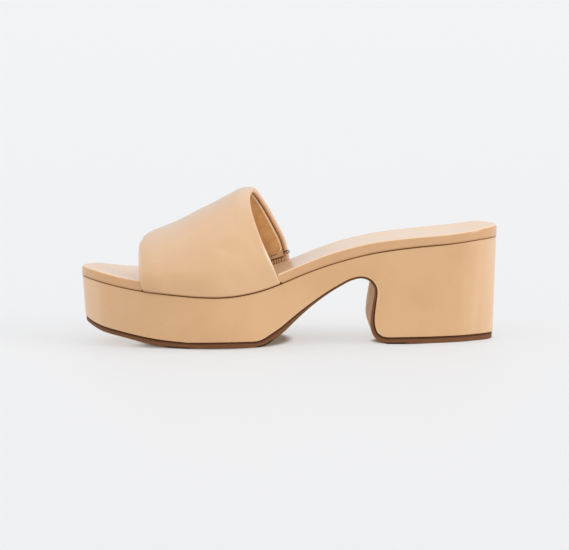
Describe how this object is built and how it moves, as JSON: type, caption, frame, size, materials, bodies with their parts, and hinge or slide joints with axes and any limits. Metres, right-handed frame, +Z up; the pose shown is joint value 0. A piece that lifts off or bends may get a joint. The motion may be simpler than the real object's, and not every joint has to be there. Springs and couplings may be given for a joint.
{
  "type": "slide sandal",
  "caption": "Slide sandal for the right foot with a broad padded strap, a covered platform and a block heel; open at the toe and the heel.",
  "frame": {"origin": "on the floor, under the middle of the sandal's bounding box", "axes": "+X to the toe, +Y to the medial side of this right shoe, +Z up"},
  "size_m": [0.248, 0.0896, 0.0916],
  "materials": {
    "strap_leather": "smooth tan leather with a soft sheen",
    "footbed_leather": "pale smooth lining leather with a tan edge",
    "platform_leather": "smooth tan leather with a soft sheen",
    "outsole_rubber": "matte dark brown"
  },
  "bodies": {
    "root": {"upper": "strap_leather", "footbed": "footbed_leather", "platform_heel": "platform_leather", "outsole": "outsole_rubber"}
  },
  "joints": []
}
